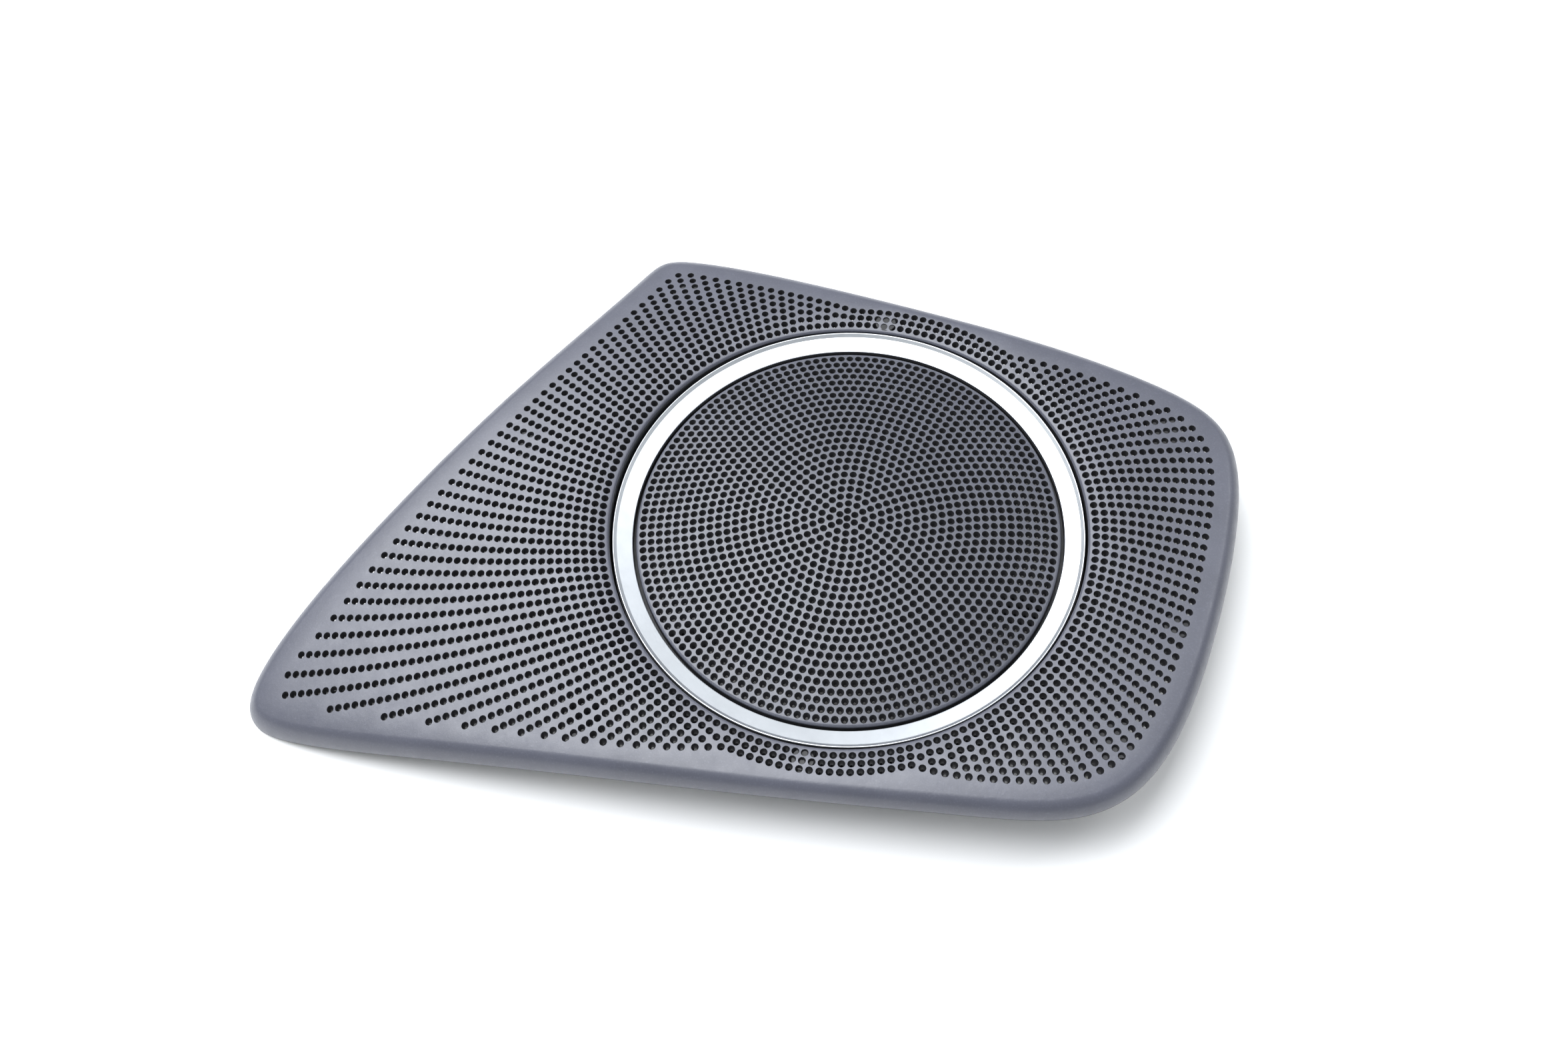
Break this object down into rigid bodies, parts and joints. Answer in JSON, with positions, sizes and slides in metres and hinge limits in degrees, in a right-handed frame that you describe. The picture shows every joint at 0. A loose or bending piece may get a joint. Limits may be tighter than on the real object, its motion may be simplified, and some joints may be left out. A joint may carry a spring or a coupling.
{
  "type": "car door loudspeaker cover with tweeter",
  "caption": "Perforated kite-shaped car door speaker cover with a metal trim ring, a domed centre grille and a dome tweeter on a bracket behind it.",
  "frame": {"origin": "centre of the bounding box at the lowest point, where the cover stands on its long corner and its clip tips", "axes": "+Z out of the visible face, along the trim ring's axis; +X along the longest side, from the long narrow corner to the broad end; +Y towards the upper edge"},
  "size_m": [0.2956, 0.199, 0.0281],
  "materials": {
    "panel_plastic": "fine-grained satin moulding",
    "grille_plastic": "fine-grained satin moulding",
    "trim_aluminium": "satin polished",
    "carrier_plastic": "plain black moulding",
    "black_fleece": "black acoustic fleece",
    "seal_foam": "open-cell foam",
    "screw_steel": "zinc plated",
    "clip_nylon": "natural nylon",
    "bracket_plastic": "glass-filled black moulding",
    "tweeter_plastic": "fine matt black",
    "dome_aluminium": "satin anodised foil",
    "surround_rubber": "matt",
    "former_film": "amber film",
    "coil_copper": "enamelled copper wire",
    "magnet_nickel": "nickel plated",
    "yoke_steel": "plated mild steel",
    "felt": "grey felt",
    "contact_brass": "tin-flashed brass"
  },
  "bodies": {
    "cover": {"outer_panel": "panel_plastic", "trim_ring": "trim_aluminium", "ring_carrier": "carrier_plastic", "centre_grille": "grille_plastic", "centre_cloth": "black_fleece", "speaker_seal": "seal_foam", "carrier_screws": "screw_steel", "tweeter_bracket": "bracket_plastic", "bracket_screws": "screw_steel", "tweeter_housing": "tweeter_plastic", "tweeter_face_ring": "tweeter_plastic", "housing_screws": "screw_steel", "surround": "surround_rubber", "magnet": "magnet_nickel", "pole_plate": "yoke_steel", "yoke_cup": "yoke_steel", "damping_felt": "felt", "terminal_socket": "tweeter_plastic", "contact_pins": "contact_brass", "tinsel_leads": "coil_copper", "push_clip_1": "clip_nylon", "push_clip_2": "clip_nylon", "push_clip_3": "clip_nylon", "push_clip_4": "clip_nylon", "push_clip_5": "clip_nylon", "push_clip_6": "clip_nylon"},
    "moving_assembly": {"dome_diaphragm": "dome_aluminium", "coil_former": "former_film", "voice_coil": "coil_copper"}
  },
  "joints": [
    {"name": "dome_travel", "type": "slide", "parent": "cover", "child": "moving_assembly", "axis": [0, 0, 1], "range_m": [-0.0003, 0.0003], "stiffness_N_per_m": 2000, "deforming": ["surround"]}
  ]
}
